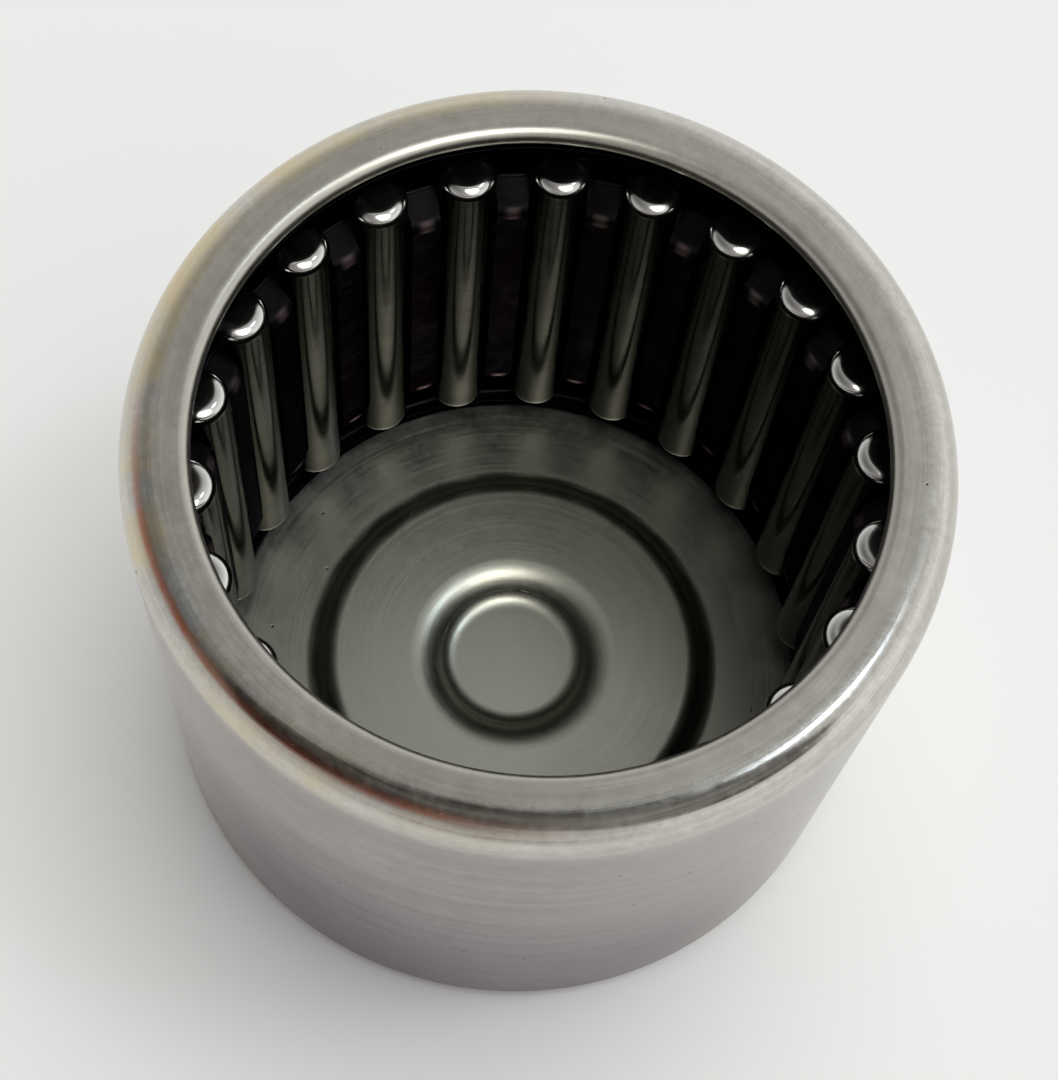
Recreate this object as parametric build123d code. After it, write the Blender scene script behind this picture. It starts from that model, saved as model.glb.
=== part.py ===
from build123d import *

import math
import os

# Drawn cup needle roller bearing with a closed end.
# Millimetres. The origin is on the axis, at the underside of the closed end.
# +Z runs along the axis, towards the open mouth.

# ---------------------------------------------------------------- driving sizes

OUTER_DIAMETER = 32.0        # housing seat
SHAFT_DIAMETER = 25.0        # circle that the rollers enclose
WIDTH = 26.0                 # over both ends of the cup

SHEET = 1.0                  # nominal sheet thickness of the cup
LIP_OPENING_DIAMETER = 26.5  # mouth, between the turned-in lip's edges
LIP_EDGE_RADIUS = 0.48       # the lip's edge is rolled fully round
MOUTH_CORNER_RADIUS = 1.4    # outside corner where the lip turns in
BASE_CORNER_RADIUS = 1.3     # outside corner of the closed end
INSIDE_CORNER_RADIUS = 0.5

BOSS_RISE = 0.9              # the pressed-up boss in the closed end
BOSS_STEP_RADIUS = 9.1       # middle of the boss's flank, inside the cup
BOSS_FLANK_ANGLE = 58.7      # degrees from the floor
BOSS_FLANK_ROUND = 0.9
BOSS_SHEET_SHIFT = 0.5       # how much further in the underside's flank lies

DIMPLE_FLOOR_RADIUS = 2.65   # flat disc in the middle of the boss
DIMPLE_MOUTH_RADIUS = 4.9    # where the boss starts to dip
DIMPLE_ROUND_SHARE = 0.655   # upper round's share of the dimple's two rounds

ROLLER_COUNT = 22
ROLLER_DIAMETER = 2.5
ROLLER_LENGTH = 19.8
ROLLER_END_ROUND = 0.55
ROLLER_BOTTOM = 3.1          # lower end of the rollers above the origin

RACEWAY_CLEARANCE = 0.05     # between a roller and the raceway
POCKET_CLEARANCE = 0.04      # between a roller and its pocket's round seat
POCKET_END_CLEARANCE = 0.1
POCKET_SLOT = 2.44           # narrower than a roller, so it can't fall out

CAGE_SHEET = 0.5
CAGE_BOTTOM = 1.3
CAGE_TOP = 24.7
CAGE_OUTER_RADIUS = 14.62
CAGE_FLANGE_RADIUS = 13.45   # inner edge of both end flanges
CAGE_WAIST_RADIUS = 12.95    # inner face of the bars between the two joggles
CAGE_JOGGLE_INSET = 3.1      # from each end of the cage to the joggle
CAGE_JOGGLE_LENGTH = 1.2
CAGE_BEND_RADIUS = 0.25      # inside of each bend

# ---------------------------------------------------------------- worked out

OUTER_RADIUS = OUTER_DIAMETER / 2
ROLLER_RADIUS = ROLLER_DIAMETER / 2
PITCH_RADIUS = SHAFT_DIAMETER / 2 + ROLLER_RADIUS
RACEWAY_RADIUS = PITCH_RADIUS + ROLLER_RADIUS + RACEWAY_CLEARANCE
ROLLER_TOP = ROLLER_BOTTOM + ROLLER_LENGTH
BOSS_TOP = SHEET + BOSS_RISE

os.makedirs("parts", exist_ok=True)


def revolved(points, radii):
    """A solid of revolution about Z from a closed section with rounded corners."""
    outline = FilletPolyline(*points, radius=radii, close=True)
    section = make_face(Plane.XZ * outline)
    return revolve(section, axis=Axis.Z)


# ---------------------------------------------------------------- drawn cup


def boss_flank(middle_radius, low):
    """Foot and shoulder corners of the boss's flank, on one face of the sheet."""
    half_run = BOSS_RISE / math.tan(math.radians(BOSS_FLANK_ANGLE)) / 2
    foot = (middle_radius + half_run, low)
    shoulder = (middle_radius - half_run, low + BOSS_RISE)
    return foot, shoulder


def dimple_flank(low, upper_round, lower_round):
    """Shoulder and foot corners of the dimple's flank, on one face of the sheet."""
    tangent = (DIMPLE_MOUTH_RADIUS - DIMPLE_FLOOR_RADIUS) - BOSS_RISE / math.tan(dimple_angle())
    lean = tangent / (upper_round + lower_round)
    shoulder = (DIMPLE_MOUTH_RADIUS - upper_round * lean, low + BOSS_RISE)
    foot = (DIMPLE_FLOOR_RADIUS + lower_round * lean, low)
    return shoulder, foot


def dimple_angle():
    """Slope of the dimple's flank when its two rounds meet in one tangent."""
    return 2 * math.atan(BOSS_RISE / (DIMPLE_MOUTH_RADIUS - DIMPLE_FLOOR_RADIUS))


def make_cup():
    """One piece of sheet: closed end with a boss and a dimple, wall and turned-in lip."""
    rounds = (DIMPLE_MOUTH_RADIUS - DIMPLE_FLOOR_RADIUS) / math.sin(dimple_angle())
    upper = rounds * DIMPLE_ROUND_SHARE
    lower = rounds - upper
    keep = 0.97  # leaves a short straight between two rounds

    inner_foot, inner_shoulder = boss_flank(BOSS_STEP_RADIUS, SHEET)
    under_foot, under_shoulder = boss_flank(BOSS_STEP_RADIUS - BOSS_SHEET_SHIFT, 0)
    dimple_shoulder, dimple_foot = dimple_flank(SHEET, upper, lower)
    under_dimple_shoulder, under_dimple_foot = dimple_flank(0, upper - SHEET, lower + SHEET)

    corners = [
        ((0, 0), 0),
        (under_dimple_foot, (lower + SHEET) * keep),
        (under_dimple_shoulder, (upper - SHEET) * keep),
        (under_shoulder, BOSS_FLANK_ROUND),
        (under_foot, BOSS_FLANK_ROUND),
        ((OUTER_RADIUS, 0), BASE_CORNER_RADIUS),
        ((OUTER_RADIUS, WIDTH), MOUTH_CORNER_RADIUS),
        ((LIP_OPENING_DIAMETER / 2, WIDTH), LIP_EDGE_RADIUS),
        ((LIP_OPENING_DIAMETER / 2, WIDTH - SHEET), LIP_EDGE_RADIUS),
        ((RACEWAY_RADIUS, WIDTH - SHEET), INSIDE_CORNER_RADIUS),
        ((RACEWAY_RADIUS, SHEET), INSIDE_CORNER_RADIUS),
        (inner_foot, BOSS_FLANK_ROUND),
        (inner_shoulder, BOSS_FLANK_ROUND),
        (dimple_shoulder, upper * keep),
        (dimple_foot, lower * keep),
        ((0, SHEET), 0),
    ]
    return revolved([point for point, _ in corners], [radius for _, radius in corners])


# ---------------------------------------------------------------- cage


def cage_blank():
    """The pressed sheet ring before piercing: its section is an M lying on its side."""
    outer = CAGE_OUTER_RADIUS
    step = outer - CAGE_SHEET - CAGE_WAIST_RADIUS
    waist = outer - step
    low = CAGE_BOTTOM + CAGE_JOGGLE_INSET
    high = CAGE_TOP - CAGE_JOGGLE_INSET
    lean = math.hypot(step, CAGE_JOGGLE_LENGTH)
    # the inner face's corners shift along Z so that the sloped sheet keeps its thickness
    shift = CAGE_SHEET * (lean - CAGE_JOGGLE_LENGTH) / step
    inside = CAGE_BEND_RADIUS
    outside = CAGE_BEND_RADIUS + CAGE_SHEET
    inner = outer - CAGE_SHEET
    corners = [
        ((CAGE_FLANGE_RADIUS, CAGE_BOTTOM), 0),
        ((outer, CAGE_BOTTOM), outside),
        ((outer, low), outside),
        ((waist, low + CAGE_JOGGLE_LENGTH), inside),
        ((waist, high - CAGE_JOGGLE_LENGTH), inside),
        ((outer, high), outside),
        ((outer, CAGE_TOP), outside),
        ((CAGE_FLANGE_RADIUS, CAGE_TOP), 0),
        ((CAGE_FLANGE_RADIUS, CAGE_TOP - CAGE_SHEET), 0),
        ((inner, CAGE_TOP - CAGE_SHEET), inside),
        ((inner, high + shift), inside),
        ((CAGE_WAIST_RADIUS, high - CAGE_JOGGLE_LENGTH + shift), outside),
        ((CAGE_WAIST_RADIUS, low + CAGE_JOGGLE_LENGTH - shift), outside),
        ((inner, low - shift), inside),
        ((inner, CAGE_BOTTOM + CAGE_SHEET), inside),
        ((CAGE_FLANGE_RADIUS, CAGE_BOTTOM + CAGE_SHEET), 0),
    ]
    return revolved([point for point, _ in corners], [radius for _, radius in corners])


def pocket_cutter():
    """A straight slot through the sheet, opened to a round seat where the roller is widest."""
    length = ROLLER_LENGTH + 2 * POCKET_END_CLEARANCE
    middle = ROLLER_BOTTOM + ROLLER_LENGTH / 2
    slot = Pos(PITCH_RADIUS, 0, middle) * Box(2 * ROLLER_DIAMETER, POCKET_SLOT, length)
    seat = Pos(PITCH_RADIUS, 0, middle) * Cylinder(ROLLER_RADIUS + POCKET_CLEARANCE, length)
    return slot + seat


def make_cage():
    cutter = pocket_cutter()
    return cage_blank() - [Rot(Z=roller_angle(number)) * cutter for number in range(ROLLER_COUNT)]


# ---------------------------------------------------------------- needle rollers


def roller_angle(number):
    return 360 / ROLLER_COUNT * number


def make_roller(number):
    """One needle roller with rounded ends, in its pocket."""
    blank = Cylinder(ROLLER_RADIUS, ROLLER_LENGTH)
    rounded = fillet(blank.edges().filter_by(GeomType.CIRCLE), ROLLER_END_ROUND)
    middle = ROLLER_BOTTOM + ROLLER_LENGTH / 2
    return Rot(Z=roller_angle(number)) * Pos(PITCH_RADIUS, 0, middle) * rounded


# ---------------------------------------------------------------- export

parts = {"drawn_cup": make_cup(), "cage": make_cage()}
for number in range(ROLLER_COUNT):
    parts[f"needle_roller_{number + 1:02d}"] = make_roller(number)

for name, solid in parts.items():
    export_step(solid, f"parts/{name}.step")

print(f"raceway radius {RACEWAY_RADIUS:.2f}, roller tops at {ROLLER_TOP:.2f}, boss top at {BOSS_TOP:.2f}")
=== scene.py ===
import math

import bpy
from mathutils import Matrix, Vector


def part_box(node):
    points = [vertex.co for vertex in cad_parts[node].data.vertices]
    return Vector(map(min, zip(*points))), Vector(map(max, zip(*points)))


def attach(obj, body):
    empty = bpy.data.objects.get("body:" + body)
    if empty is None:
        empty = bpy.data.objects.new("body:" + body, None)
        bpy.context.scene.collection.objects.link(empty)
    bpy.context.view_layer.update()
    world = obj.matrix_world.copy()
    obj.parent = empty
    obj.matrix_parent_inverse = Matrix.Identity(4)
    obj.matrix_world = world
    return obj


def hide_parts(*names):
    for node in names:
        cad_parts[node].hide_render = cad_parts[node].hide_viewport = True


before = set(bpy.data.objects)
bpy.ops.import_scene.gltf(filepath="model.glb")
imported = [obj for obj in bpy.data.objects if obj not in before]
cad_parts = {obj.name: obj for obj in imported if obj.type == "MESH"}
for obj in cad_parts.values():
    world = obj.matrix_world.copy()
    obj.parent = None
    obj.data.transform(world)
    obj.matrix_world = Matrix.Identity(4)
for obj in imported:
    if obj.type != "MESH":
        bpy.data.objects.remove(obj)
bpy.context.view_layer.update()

# %% [markdown]
# # A needle roller bearing in its drawn cup
#
# The bearing is a thin steel cup with a closed end, a pressed steel cage and a ring of
# hardened needles. The CAD model fixes every size, so this script only gives the pieces
# smooth meshes and finishes, with some painted shade and painted highlights in them. Lengths
# are in metres, and MM turns millimetres into them.

# %% Units and the frame's own sizes
MM = 0.001
_, cup_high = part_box("drawn_cup")
cage_low, cage_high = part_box("cage")
roller_low, roller_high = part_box("needle_roller_01")

OUTER_RADIUS = cup_high.x
WIDTH = cup_high.z
ROLLERS = sorted(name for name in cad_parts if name.startswith("needle_roller_"))
ROLLER_RADIUS = (roller_high.x - roller_low.x) / 2
PITCH_RADIUS = (roller_high.x + roller_low.x) / 2
PITCH_ANGLE = 2 * math.pi / len(ROLLERS)
print(f"cup {2 * OUTER_RADIUS / MM:.1f} mm across, {WIDTH / MM:.1f} mm wide, {len(ROLLERS)} rollers")

# %% [markdown]
# ## Node trees
#
# Nearly all of this bearing follows a rule: the cup and the needles are turned shapes, and
# the cage is one bar repeated around the axis. Each rule is a small Geometry Nodes tree with
# named inputs, which is easier to read and to change than thousands of faces. These helpers
# add a node, join sockets and turn a tree's result into a plain mesh.


# %% Helpers for node trees
def add(tree, kind, **settings):
    """A new node, with its properties and its unlinked inputs set by name."""
    node = tree.nodes.new(kind)
    for name, value in settings.items():
        if hasattr(node, name):
            setattr(node, name, value)
        else:
            node.inputs[name.replace("_", " ")].default_value = value
    return node


def join(tree, *chain):
    """Links sockets in pairs: output, input, output, input and so on."""
    for source, target in zip(chain[::2], chain[1::2]):
        tree.links.new(source, target)


def geometry_tree(name, sockets):
    """An empty Geometry Nodes tree with a geometry input and output and the named inputs."""
    tree = bpy.data.node_groups.new(name, "GeometryNodeTree")
    tree.interface.new_socket("Geometry", in_out="INPUT", socket_type="NodeSocketGeometry")
    tree.interface.new_socket("Geometry", in_out="OUTPUT", socket_type="NodeSocketGeometry")
    for label, kind in sockets.items():
        tree.interface.new_socket(label, in_out="INPUT", socket_type=kind)
    start = tree.nodes.new("NodeGroupInput")
    end = tree.nodes.new("NodeGroupOutput")
    return tree, start.outputs, end.inputs["Geometry"]


def grown(name, start_mesh, tree, values):
    """Runs a tree on a start mesh and returns the result as an object with a plain mesh."""
    holder = bpy.data.objects.new(name + "_start", start_mesh)
    bpy.context.scene.collection.objects.link(holder)
    modifier = holder.modifiers.new("tree", "NODES")
    modifier.node_group = tree
    for item in tree.interface.items_tree:
        if item.in_out == "INPUT" and item.name in values:
            modifier[item.identifier] = values[item.name]
    evaluated = holder.evaluated_get(bpy.context.evaluated_depsgraph_get())
    mesh = bpy.data.meshes.new_from_object(evaluated)
    bpy.data.objects.remove(holder)
    mesh.name = name
    piece = bpy.data.objects.new(name, mesh)
    bpy.context.scene.collection.objects.link(piece)
    return piece


print("helpers for node trees: add, join, geometry_tree and grown")

# %% [markdown]
# ## Sections with rounded corners
#
# Sheet metal has no sharp corners: each bend is an arc, and the arc catches the light. A
# section is a list of corners, each with its rounding, and this turns it into points along
# straights and true arcs. A bevel modifier would round the turned mesh too, but not with a
# different radius at each corner. A guard point just outside each arc keeps the shading of
# the flat next to it flat.


# %% Corners to points
ARC_STEP = math.radians(6)
FEWEST_STEPS = 2
GUARD = 0.03 * MM
SHORTEST_FLAT = 4 * GUARD


def rounded(corners):
    """Points (r, z) along an open section, from corners (r, z, rounding)."""
    points = []
    for index, (r, z, size) in enumerate(corners):
        here = Vector((r, z))
        if size == 0 or index in (0, len(corners) - 1):
            points.append(here)
            continue
        before = Vector(corners[index - 1][:2]) - here
        after = Vector(corners[index + 1][:2]) - here
        into, out = before.normalized(), after.normalized()
        half = into.angle(out) / 2
        reach = size / math.tan(half)
        centre = here + (into + out).normalized() * size / math.sin(half)
        spoke = here + into * reach - centre
        turn = math.pi - 2 * half
        if into.x * out.y - into.y * out.x > 0:
            turn = -turn
        steps = max(FEWEST_STEPS, round(abs(turn) / ARC_STEP))
        if before.length > reach + SHORTEST_FLAT:
            points.append(here + into * (reach + GUARD))
        for step in range(steps + 1):
            points.append(centre + Matrix.Rotation(turn * step / steps, 2) @ spoke)
        if after.length > reach + SHORTEST_FLAT:
            points.append(here + out * (reach + GUARD))
    return points


def section_mesh(name, points):
    """The section as a chain of edges in the XZ plane, ready to be turned."""
    mesh = bpy.data.meshes.new(name)
    edges = [(i, i + 1) for i in range(len(points) - 1)]
    mesh.from_pydata([(p.x, 0, p.y) for p in points], edges, [])
    return mesh


print(f"arcs in steps of {math.degrees(ARC_STEP):.0f} degrees, guard points {GUARD / MM} mm off")

# %% [markdown]
# ## The lathe
#
# A cup and a needle are both turned about an axis, and Spin or a Screw modifier could make
# them too. A tree does it here, because it can also keep each point's place on the blank for
# the material to read. It sweeps the section round a circle, welds it where it meets the
# axis, stores the place, and then moves the piece out to where it stands.

# %% The turning tree
turning, given, result = geometry_tree(
    "turned_about_axis",
    {
        "Steps Around": "NodeSocketInt",
        "Axis Distance": "NodeSocketFloat",
        "Axis Angle": "NodeSocketFloat",
        "Finish": "NodeSocketMaterial",
    },
)
PATH_RADIUS = 1.0 * MM
WELD_GAP = GUARD / 10
chain = add(turning, "GeometryNodeMeshToCurve")
laid = add(
    turning, "GeometryNodeTransform",
    Translation=(-PATH_RADIUS, 0, 0), Rotation=(math.pi / 2, 0, 0),
)
path = add(turning, "GeometryNodeCurvePrimitiveCircle", mode="RADIUS", Radius=PATH_RADIUS)
swept = add(turning, "GeometryNodeCurveToMesh")
welded = add(turning, "GeometryNodeMergeByDistance", Distance=WELD_GAP)
smooth = add(turning, "GeometryNodeSetShadeSmooth", Shade_Smooth=True)
place = add(turning, "GeometryNodeInputPosition")
noted = add(
    turning, "GeometryNodeStoreNamedAttribute",
    data_type="FLOAT_VECTOR", domain="POINT", Name="blank",
)
outward = add(turning, "ShaderNodeCombineXYZ")
turned = add(turning, "ShaderNodeCombineXYZ")
shifted = add(turning, "GeometryNodeTransform")
spun = add(turning, "GeometryNodeTransform")
realized = add(turning, "GeometryNodeRealizeInstances")
finished = add(turning, "GeometryNodeSetMaterial")
join(
    turning,
    given["Geometry"], chain.inputs["Mesh"],
    chain.outputs["Curve"], laid.inputs["Geometry"],
    given["Steps Around"], path.inputs["Resolution"],
    path.outputs["Curve"], swept.inputs["Curve"],
    laid.outputs["Geometry"], swept.inputs["Profile Curve"],
    swept.outputs["Mesh"], welded.inputs["Geometry"],
    welded.outputs["Geometry"], smooth.inputs["Geometry"],
    smooth.outputs["Geometry"], noted.inputs["Geometry"],
    place.outputs["Position"], noted.inputs["Value"],
    given["Axis Distance"], outward.inputs["X"],
    given["Axis Angle"], turned.inputs["Z"],
    noted.outputs["Geometry"], shifted.inputs["Geometry"],
    outward.outputs["Vector"], shifted.inputs["Translation"],
    shifted.outputs["Geometry"], spun.inputs["Geometry"],
    turned.outputs["Vector"], spun.inputs["Rotation"],
    spun.outputs["Geometry"], realized.inputs["Geometry"],
    realized.outputs["Geometry"], finished.inputs["Geometry"],
    given["Finish"], finished.inputs["Material"],
    finished.outputs["Geometry"], result,
)
print(f"{turning.name}: {len(turning.nodes)} nodes")

# %% [markdown]
# ## Effects that several finishes share
#
# Three things happen to the steel of this bearing: it is turned or rolled, which leaves fine
# lines running around the axis, a thin film of oil dries on it in patches, and handling
# leaves small pits. Each effect is a shader node group, built once, and every finish places
# it with its own values. The groups put out only masks, so the shader stays in the material.
# Each group works in millimetres, because those numbers are easy to compare with the part.


# %% Helper for shader groups
def effect_group(name, given_sockets, made_sockets):
    """A shader node group with its inputs (name: default) and its outputs (name: kind)."""
    group = bpy.data.node_groups.new(name, "ShaderNodeTree")
    for label, value in given_sockets.items():
        kind = "NodeSocketVector" if value is None else "NodeSocketFloat"
        socket = group.interface.new_socket(label, in_out="INPUT", socket_type=kind)
        if value is not None:
            socket.default_value = value
    for label, kind in made_sockets.items():
        group.interface.new_socket(label, in_out="OUTPUT", socket_type=kind)
    start = group.nodes.new("NodeGroupInput")
    end = group.nodes.new("NodeGroupOutput")
    return group, start.outputs, end.inputs


def in_millimetres(tree, place):
    """A place in metres turned into millimetres."""
    scaled = add(tree, "ShaderNodeVectorMath", operation="SCALE", Scale=1 / MM)
    join(tree, place, scaled.inputs[0])
    return scaled.outputs["Vector"]


def parts_in_millimetres(tree, place):
    """The X, Y and Z of a place, in millimetres."""
    parts = add(tree, "ShaderNodeSeparateXYZ")
    join(tree, in_millimetres(tree, place), parts.inputs[0])
    return parts.outputs


def calculated(tree, operation, first, second=None, third=None):
    """The output of one Math node, whose inputs are sockets or plain numbers."""
    node = add(tree, "ShaderNodeMath", operation=operation)
    for slot, value in enumerate((first, second, third)):
        if isinstance(value, (int, float)):
            node.inputs[slot].default_value = value
        elif value is not None:
            tree.links.new(value, node.inputs[slot])
    return node.outputs["Value"]


def eased(tree, value, low, high, low_result=0.0, high_result=1.0):
    """A value mapped smoothly from the range low to high into another range."""
    node = add(
        tree, "ShaderNodeMapRange", interpolation_type="SMOOTHSTEP",
        From_Min=low, From_Max=high, To_Min=low_result, To_Max=high_result,
    )
    tree.links.new(value, node.inputs["Value"])
    return node.outputs["Result"]


def axis_distance(tree, parts):
    """How far a place is from the part's own axis."""
    squares = calculated(tree, "MULTIPLY", parts["X"], parts["X"])
    squares = calculated(tree, "MULTIPLY_ADD", parts["Y"], parts["Y"], squares)
    return calculated(tree, "SQRT", squares)


print("helpers for shader nodes: effect_group, in_millimetres, calculated, eased, axis_distance")

# %% [markdown]
# ### Lines left by turning
#
# A line left by a tool runs around the axis, so it sits at one distance from the axis and one
# height. Noise that changes fast with those two, and only slowly with the direction, gives
# such lines on flats, corners and walls alike, and it has no seam, because the direction
# comes in as X and Y and not as an angle.

# %% Turned lines group
GRAIN_RANGE = (0.28, 0.72)
turned_lines, given, made = effect_group(
    "turned_lines",
    {"Place": None, "Lines per mm": 5.0, "Streak per mm": 0.12, "Seed": 0.0},
    {"Lines": "NodeSocketFloat"},
)
parts = parts_in_millimetres(turned_lines, given["Place"])
radius = axis_distance(turned_lines, parts)
across = calculated(turned_lines, "MULTIPLY", radius, given["Lines per mm"])
along = calculated(turned_lines, "MULTIPLY", parts["Z"], given["Lines per mm"])
slow_x = calculated(turned_lines, "MULTIPLY_ADD", parts["X"], given["Streak per mm"], given["Seed"])
slow_y = calculated(turned_lines, "MULTIPLY", parts["Y"], given["Streak per mm"])
sample = add(turned_lines, "ShaderNodeCombineXYZ")
grain = add(
    turned_lines, "ShaderNodeTexNoise", noise_dimensions="4D",
    Scale=1.0, Detail=3.0, Roughness=0.65,
)
join(
    turned_lines,
    across, sample.inputs["X"],
    along, sample.inputs["Y"],
    slow_x, sample.inputs["Z"],
    sample.outputs["Vector"], grain.inputs["Vector"],
    slow_y, grain.inputs["W"],
    eased(turned_lines, grain.outputs["Fac"], *GRAIN_RANGE), made["Lines"],
)
print(f"{turned_lines.name}: {len(turned_lines.nodes)} nodes")

# %% [markdown]
# ### Dried oil
#
# Oil dries in soft patches with clearer edges where it has run. One distorted noise gives the
# patches, and a second, slower one gives the thickness that the tint depends on. Painting
# the patches by hand would need an image, and noise needs none and has no seam.

# %% Oil film group
FILM_EDGE = (-0.12, 0.18)
THICKNESS_RANGE = (0.35, 0.65)
THICKNESS_PACE = 0.4
oil_film, given, made = effect_group(
    "oil_film",
    {"Place": None, "Patch mm": 5.0, "Cover": 0.5, "Seed": 0.0},
    {"Film": "NodeSocketFloat", "Thickness": "NodeSocketFloat"},
)
place = in_millimetres(oil_film, given["Place"])
per_mm = calculated(oil_film, "DIVIDE", 1.0, given["Patch mm"])
patches = add(
    oil_film, "ShaderNodeTexNoise", noise_dimensions="4D",
    Detail=4.0, Roughness=0.6, Distortion=0.8,
)
slow = add(oil_film, "ShaderNodeTexNoise", noise_dimensions="4D", Detail=1.0)
edge = calculated(oil_film, "SUBTRACT", 1.0, given["Cover"])
above = calculated(oil_film, "SUBTRACT", patches.outputs["Fac"], edge)
join(
    oil_film,
    place, patches.inputs["Vector"],
    per_mm, patches.inputs["Scale"],
    given["Seed"], patches.inputs["W"],
    place, slow.inputs["Vector"],
    calculated(oil_film, "MULTIPLY", per_mm, THICKNESS_PACE), slow.inputs["Scale"],
    given["Seed"], slow.inputs["W"],
    eased(oil_film, above, *FILM_EDGE), made["Film"],
    eased(oil_film, slow.outputs["Fac"], *THICKNESS_RANGE), made["Thickness"],
)
print(f"{oil_film.name}: {len(oil_film.nodes)} nodes")

# %% [markdown]
# ### Small pits
#
# A pit is a dark dot a tenth of a millimetre or so across. Voronoi cells place one dot in
# each cell, and each cell's own random colour keeps only a few of them.

# %% Pits group
PIT_EDGE = (0.0, 0.6)
small_pits, given, made = effect_group(
    "small_pits",
    {"Place": None, "Spacing mm": 1.2, "Pit Share": 0.12, "Kept": 0.2},
    {"Pits": "NodeSocketFloat"},
)
place = in_millimetres(small_pits, given["Place"])
cells = add(small_pits, "ShaderNodeTexVoronoi", voronoi_dimensions="3D", feature="F1")
chance = add(small_pits, "ShaderNodeSeparateColor")
from_centre = calculated(small_pits, "DIVIDE", cells.outputs["Distance"], given["Pit Share"])
inside = calculated(small_pits, "SUBTRACT", 1.0, from_centre)
dots = eased(small_pits, inside, *PIT_EDGE)
kept = calculated(small_pits, "LESS_THAN", chance.outputs["Red"], given["Kept"])
join(
    small_pits,
    place, cells.inputs["Vector"],
    calculated(small_pits, "DIVIDE", 1.0, given["Spacing mm"]), cells.inputs["Scale"],
    cells.outputs["Color"], chance.inputs["Color"],
    calculated(small_pits, "MULTIPLY", dots, kept), made["Pits"],
)
print(f"{small_pits.name}: {len(small_pits.nodes)} nodes")

# %% [markdown]
# ## Finishes
#
# All three finishes are bare metal: Metallic is 1, and the base colour is the colour of what
# the metal mirrors. On the cage and the needles the Specular Tint is turned down as well, so
# they mirror little even edge-on; on the needles this adds to their painted shade. A finish is
# built up as a painter would, one tint over another, with a mask for each, and these helpers
# place an effect, lay a tint and raise the surface.

# %% Helpers for materials
# A Mix node has sockets for several kinds of value; these are its colour ones.
MIX_FIRST, MIX_SECOND, MIX_RESULT = 6, 7, 2


def steel(name, glancing=(1.0, 1.0, 1.0)):
    """A bare metal material, its tree and its shader; glancing tints what it mirrors edge-on."""
    material = bpy.data.materials.new(name)
    material.use_nodes = True
    shader = material.node_tree.nodes["Principled BSDF"]
    shader.inputs["Metallic"].default_value = 1.0
    shader.inputs["Specular Tint"].default_value = (*glancing, 1)
    return material, material.node_tree, shader


def effect(tree, group, place, **values):
    """A placed effect, with its own values by input name."""
    node = add(tree, "ShaderNodeGroup", node_tree=group, **values)
    tree.links.new(place, node.inputs["Place"])
    return node.outputs


def tinted(tree, amount, first, second):
    """One colour turned into another by a mask; each is a socket or a plain colour."""
    node = add(tree, "ShaderNodeMix", data_type="RGBA")
    tree.links.new(amount, node.inputs["Factor"])
    for slot, value in ((MIX_FIRST, first), (MIX_SECOND, second)):
        if isinstance(value, tuple):
            node.inputs[slot].default_value = (*value, 1)
        else:
            tree.links.new(value, node.inputs[slot])
    return node.outputs[MIX_RESULT]


def raised(tree, shader, height, distance):
    """A bump on the shader's normal; distance is its height in metres where the mask is 1."""
    node = add(tree, "ShaderNodeBump", Strength=1.0, Distance=distance)
    join(tree, height, node.inputs["Height"], node.outputs["Normal"], shader.inputs["Normal"])


def product(tree, first, second):
    """Two masks, or a mask and a number, multiplied."""
    return calculated(tree, "MULTIPLY", first, second)


def more(tree, mask, amount, base):
    """The base with so much of a mask added to it; base is a socket or a number."""
    return calculated(tree, "MULTIPLY_ADD", mask, amount, base)


print("helpers for finishes: steel, effect, tinted, raised, product and more")

# %% [markdown]
# ## The cup's finish
#
# The cup is drawn from bare sheet, hardened and left as it is: a satin grey with a warm cast.
# The lip and the wall are dull, and the die has polished the corner between them. Oil has left
# a straw tint around the mouth. A red-brown line along the corner on the near side is a painted
# dark reflection, and the near wall carries a violet tint, painted darker as painted shade, that
# grows downwards. Base colour takes the tints and the painted shade, and roughness takes the
# difference between the lip, the corner and the wall. The zones come from the height and the
# distance from the axis in millimetres, so no face needs a material of its own.

# %% Cup colours and zones
LIGHT_STEEL = (0.64, 0.625, 0.58)
DARK_STEEL = (0.42, 0.405, 0.37)
STRAW = (0.62, 0.53, 0.34)
REFLECTION_BROWN = (0.46, 0.17, 0.10)
VIOLET_SHADE_LIGHT = (0.245, 0.20, 0.22)
VIOLET_SHADE_DARK = (0.10, 0.08, 0.095)
LIP_GREY = (0.43, 0.41, 0.355)
INSIDE_GREY = (0.50, 0.505, 0.42)
PIT_DARK = (0.10, 0.09, 0.08)
CUP_RADIUS = OUTER_RADIUS / MM
CUP_WIDTH = WIDTH / MM
MOUTH_ZONE = (CUP_WIDTH - 2.2, CUP_WIDTH - 0.6)
CORNER_ZONE = (CUP_RADIUS - 1.75, CUP_RADIUS - 1.2)

cup_steel, tree, shader = steel("cup_steel")
place = add(tree, "ShaderNodeTexCoord").outputs["Object"]
parts = parts_in_millimetres(tree, place)
radius = axis_distance(tree, parts)
mouth = eased(tree, parts["Z"], *MOUTH_ZONE)
outside = eased(tree, radius, *CORNER_ZONE)
corner = product(tree, mouth, outside)
lip_flat = calculated(tree, "SUBTRACT", mouth, corner)
wall = calculated(tree, "SUBTRACT", outside, corner)
print(f"cup zones: lip and corner meet {CORNER_ZONE[0]:.2f} to {CORNER_ZONE[1]:.2f} mm out")

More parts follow.
